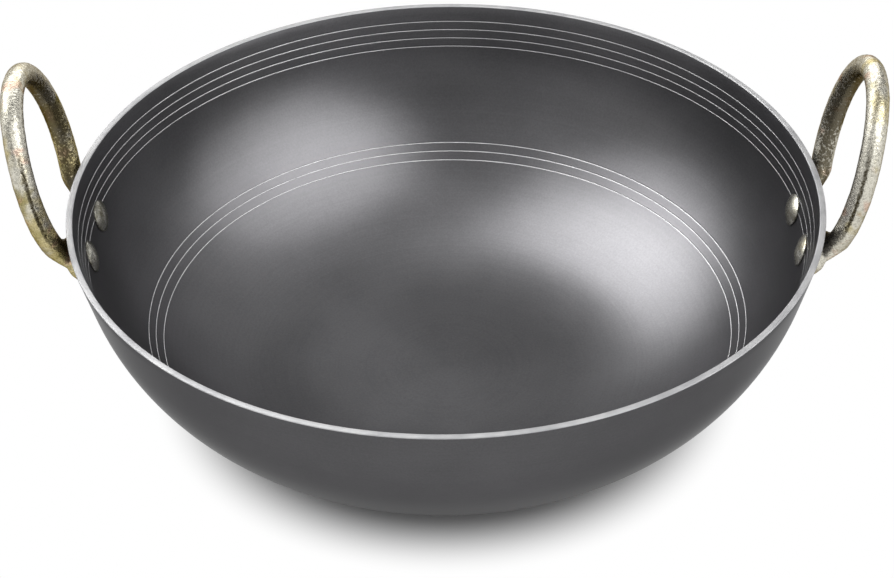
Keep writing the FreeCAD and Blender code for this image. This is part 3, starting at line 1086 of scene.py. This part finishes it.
    def _neck(self, rod: Item, frame: Matrix) -> None:
        """Bridge the rod's lower end to an oval inside the tab.

        Args:
            rod: the rear half of the rod, which takes the neck in.
            frame: the rivet's frame.
        """
        thickness = self.rivet.tab_thickness
        oval = new_from(
            bpy.ops.mesh.primitive_circle_add,
            "neck",
            vertices=self.segments,
            radius=1,
            rotation=(0, math.pi / 2, 0),
        )
        half_width = self.tab_width / 2 - self.neck_inset
        half_thickness = thickness / 2 - self.neck_inset
        place = Matrix.Translation((self.tab_length, 0, self.rivet.seat + thickness / 2))
        apply_frame(oval, frame @ place @ Matrix.Diagonal((1, half_width, half_thickness, 1)))
        join(rod, [oval])
        edit_edges(rod)
        bpy.ops.mesh.select_non_manifold()
        leave()
        for edge in rod.data.edges:
            if all(abs(rod.data.vertices[number].co.y) < self.rod_radius for number in edge.vertices):
                edge.select = False
        bpy.ops.object.mode_set(mode="EDIT")
        bpy.ops.mesh.bridge_edge_loops(
            number_cuts=self.neck_cuts, interpolation="SURFACE", smoothness=self.neck_smoothness
        )
        select_points(rod, lambda point: abs((frame.inverted() @ point).x - self.tab_length) < self.rivet.seat)
        bpy.ops.mesh.edge_face_add()
        leave()

    def build(self) -> Item:
        """Model the +X handle: half of it is made and mirrored, then fused into one skin.

        Returns:
            The smooth handle, before its dents.
        """
        frame = self.rivet.frame(End.REAR, self.along)
        item = self._rod()
        self._neck(item, frame)
        join(item, [self._tab(frame)])
        clean(item)
        add_modifier(item, "MIRROR", use_axis=(False, True, False), merge_threshold=2 * self.merge_gap)
        clean(item, self.merge_gap)
        add_modifier(item, "REMESH", mode="VOXEL", voxel_size=self.voxel)
        add_modifier(item, "SMOOTH", factor=0.5, iterations=self.smooth_passes)
        return item

    def place(self, smooth: Item, side: Side) -> Item:
        """Put a copy of the handle on one side and give it its own dents and pits.

        Args:
            smooth: the handle as built.
            side: the side it goes to.

        Returns:
            The finished handle.
        """
        item = copy_of(smooth, f"kadai_{side.name.lower()}_handle")
        apply_frame(item, Matrix.Rotation(side.value, 4, "Z"))
        for name, grain, height in (("dents", self.dent_grain, self.dent), ("pits", self.pit_grain, self.pit)):
            noise = bpy.data.textures.new(name, "CLOUDS")
            noise.noise_scale = grain
            noise.noise_depth = 2
            add_modifier(
                item, "DISPLACE", texture=noise, texture_coords="LOCAL", strength=height, mid_level=0.5
            )
        pick(item)
        bpy.ops.object.shade_smooth()
        return item

    def dress(self, item: Item, side: Side) -> None:
        """Give a handle its finish.

        Args:
            item: the handle.
            side: its side.
        """
        steep = math.cos(self.lean)
        finish = PassivatedSteel(
            name=f"{side.name.lower()}_plating",
            gold=GOLD[side],
            waist_height=self.foot.z + self.waist * steep,
            rise_above=(self.height - self.waist) * steep,
            drop_below=(self.waist + self.rivet.spacing / 2 * math.tan(self.leg_angle)) * steep,
            half_width=self.width / 2,
            rod_share=self.rod_radius / (self.width / 2),
            foot=(self.foot.x, self.foot.z),
            lean=self.lean,
        )
        dress(item, [finish.material()], f"{side.name.lower()}_handle")


# Studio


@dataclass(frozen=True)
class Softbox:
    """One round soft light that faces the bowl, for the pieces of one material slot if it names one."""

    name: str
    toward: Place
    across: float
    radiance: float
    slot: str = ""
    diffuse: bool = True
    glossy: bool = True
    distance: float = 1.3
    aim_height: float = 0.04

    def hang(self) -> Item:
        """Hang the light.

        Returns:
            The light.
        """
        light = bpy.data.lights.new(self.name, "AREA")
        light.shape = "DISK"
        light.size = self.across
        light.energy = self.radiance * math.pi * (math.pi / 4 * self.across * self.across)
        item = bpy.data.objects.new(self.name, light)
        bpy.context.scene.collection.objects.link(item)
        toward = Vector(self.toward).normalized()
        item.location = Vector((0, 0, self.aim_height)) + toward * self.distance
        item.rotation_euler = (-toward).to_track_quat("-Z", "Y").to_euler()
        item.visible_diffuse = self.diffuse
        item.visible_glossy = self.glossy
        return item


def hot_middle(
    name: str, toward: Place, discs: Sequence[tuple[float, float, float]], gap: float = 0.01
) -> tuple[Softbox, ...]:
    """A light for the bowl's highlights that is brighter towards its middle, as discs one over another.

    Args:
        name: name of the light.
        toward: direction of its middle from the bowl.
        discs: diameter and radiance of each disc, and how far it leans out to the side.
        gap: space between the discs.

    Returns:
        The discs.
    """
    boxes = []
    for place, (across, radiance, lean) in enumerate(discs):
        aim = (toward[0] * lean, toward[1] / lean, toward[2])
        away = Softbox.distance + gap * place
        boxes.append(Softbox(f"{name}_{place}", aim, across, radiance, "bowl", diffuse=False, distance=away))
    return tuple(boxes)


@dataclass
class Studio:
    """White floor, dim room, soft lights and the camera."""

    floor_size: float = 6.0
    floor_drop: float = 0.0002
    floor_grey: float = 0.86
    shadow_edge: Flat = (0.091, 0.125)
    room: float = 0.30
    horizon: Flat = (0.17, 0.26)
    lens: float = 88.59
    sensor: float = 36.0
    eye: Place = (0.0063, -0.7218, 0.5853)
    look_down: float = math.radians(37.0)
    heading: float = math.radians(0.5)
    roll: float = math.radians(-0.80)
    softboxes: tuple[Softbox, ...] = (
        *hot_middle(
            "back_left_box",
            (-0.573, 0.34, 0.745),
            ((0.5, 2.0, 1.0), (1.0, 2.7, 1.0), (1.3, 3.0, 0.95), (1.8, 3.4, 1.16)),
        ),
        *hot_middle(
            "front_right_box",
            (0.629, -0.36, 0.685),
            ((0.5, 1.2, 1.0), (1.0, 1.6, 1.0), (1.5, 1.6, 1.06), (2.0, 2.5, 1.14)),
        ),
        Softbox("overhead_box", (0.18, 0.15, 1.0), 1.2, 0.7, "bowl", diffuse=False),
        Softbox("back_box", (-0.25, 0.61, 0.75), 0.65, 1.1, "bowl", diffuse=False),
        Softbox("back_right_box", (0.615, 0.48, 0.625), 1.6, 0.6, "bowl", diffuse=False),
        Softbox("front_left_box", (-0.615, -0.50, 0.61), 1.6, 0.6, "bowl", diffuse=False),
        Softbox("left_handle_box", (-0.69, 0.28, 0.66), 1.13, 2.8, "handle"),
        Softbox("front_handle_box", (0.0, -0.72, 0.70), 1.13, 1.1, "handle"),
        Softbox("back_handle_box", (0.0, 0.78, 0.66), 1.4, 2.4, "handle", diffuse=False),
        Softbox("right_handle_box", (0.59, -0.42, 0.69), 1.13, 2.8, "handle"),
        Softbox("left_rivet_box", (-0.69, 0.28, 0.66), 1.13, 14.0, "rivet"),
        Softbox("right_rivet_box", (0.59, -0.42, 0.69), 1.13, 1.5, "rivet"),
        Softbox("fill", (0.0, 0.0, 1.0), 2.26, 1.15, glossy=False, distance=1.6),
    )

    def floor(self) -> None:
        """Lay the floor, which is white to the eye and to reflections outside the bowl's own shadow."""
        below = (0, 0, -self.floor_drop)
        item = new_from(bpy.ops.mesh.primitive_plane_add, "floor", size=self.floor_size, location=below)
        graph = Graph(bpy.data.materials.new("white_floor"))
        seen = graph.node("ShaderNodeLightPath", {}, {}, "Is Camera Ray")
        rays = seen.socket.node.outputs
        seen = seen + Number(graph, rays["Is Glossy Ray"]) + Number(graph, rays["Is Transmission Ray"])
        far = graph.radius(graph.place()).step(*self.shadow_edge)
        paint = graph.node("ShaderNodeBsdfDiffuse", {}, {"Color": (*(self.floor_grey,) * 3, 1)})
        white = graph.node("ShaderNodeEmission", {}, {"Strength": 1.0})
        graph.close(graph.node("ShaderNodeMixShader", {}, {0: seen * far, 1: paint, 2: white}))
        item.data.materials.append(graph.owner)

    def surround(self) -> None:
        """Make the room: a white horizon under a dim upper part."""
        world = bpy.data.worlds.new("room")
        graph = Graph(world)
        _, _, height = graph.parts(graph.place())
        dim = height.step(*self.horizon) * (1 - self.room)
        graph.close(graph.node("ShaderNodeBackground", {}, {"Color": (1, 1, 1, 1), "Strength": 1 - dim}))
        bpy.context.scene.world = world

    def lights(self, pieces: Pieces) -> None:
        """Hang the soft lights, each for the pieces of its slot alone if it names one.

        Args:
            pieces: the pieces of each material slot.
        """
        for box in self.softboxes:
            item = box.hang()
            if box.slot:
                lit = bpy.data.collections.new(f"lit_by_{box.name}")
                for piece in pieces[box.slot]:
                    lit.objects.link(piece)
                item.light_linking.receiver_collection = lit

    def camera(self) -> None:
        """Set the camera at the photograph's angle."""
        data = bpy.data.cameras.new("camera")
        data.sensor_fit = "HORIZONTAL"
        data.sensor_width = self.sensor
        data.lens = self.lens
        item = bpy.data.objects.new("camera", data)
        bpy.context.scene.collection.objects.link(item)
        tilt = Matrix.Rotation(math.pi / 2 - self.look_down, 4, "X")
        turned = Matrix.Rotation(self.heading, 4, "Z") @ tilt @ Matrix.Rotation(self.roll, 4, "Z")
        item.matrix_world = Matrix.Translation(self.eye) @ turned
        bpy.context.scene.camera = item

    def build(self, pieces: Pieces) -> None:
        """Set the whole stage.

        Args:
            pieces: the pieces of each material slot.
        """
        self.floor()
        self.surround()
        self.lights(pieces)
        self.camera()
        bpy.context.scene.view_settings.view_transform = "Standard"


def main() -> None:
    """Build and dress every piece, then the studio."""
    logging.basicConfig(level=logging.INFO, format="%(name)s %(message)s")
    bowl = Bowl()
    vessel = bowl.build()
    bowl.dress(vessel)
    pieces: Pieces = {"bowl": [vessel], "handle": [], "rivet": []}

    rivet = Rivet(bowl)
    handle = RingHandle(bowl, rivet)
    rivet_pattern = rivet.build()
    rivet_metal = rivet.finish.material()
    handle_pattern = handle.build()
    for side in Side:
        ring = handle.place(handle_pattern, side)
        handle.dress(ring, side)
        pieces["handle"].append(ring)
        for end in End:
            sign = end if side is Side.RIGHT else End(-end.value)
            name = f"{side.name.lower()}_{end.name.lower()}_rivet"
            item = copy_of(rivet_pattern, f"kadai_{name}")
            apply_frame(item, Matrix.Rotation(side.value, 4, "Z") @ rivet.frame(sign, handle.along))
            dress(item, [rivet_metal], name)
            pieces["rivet"].append(item)
    for pattern in (rivet_pattern, handle_pattern):
        bpy.data.objects.remove(pattern)

    Studio().build(pieces)


if __name__ == "__main__":
    main()
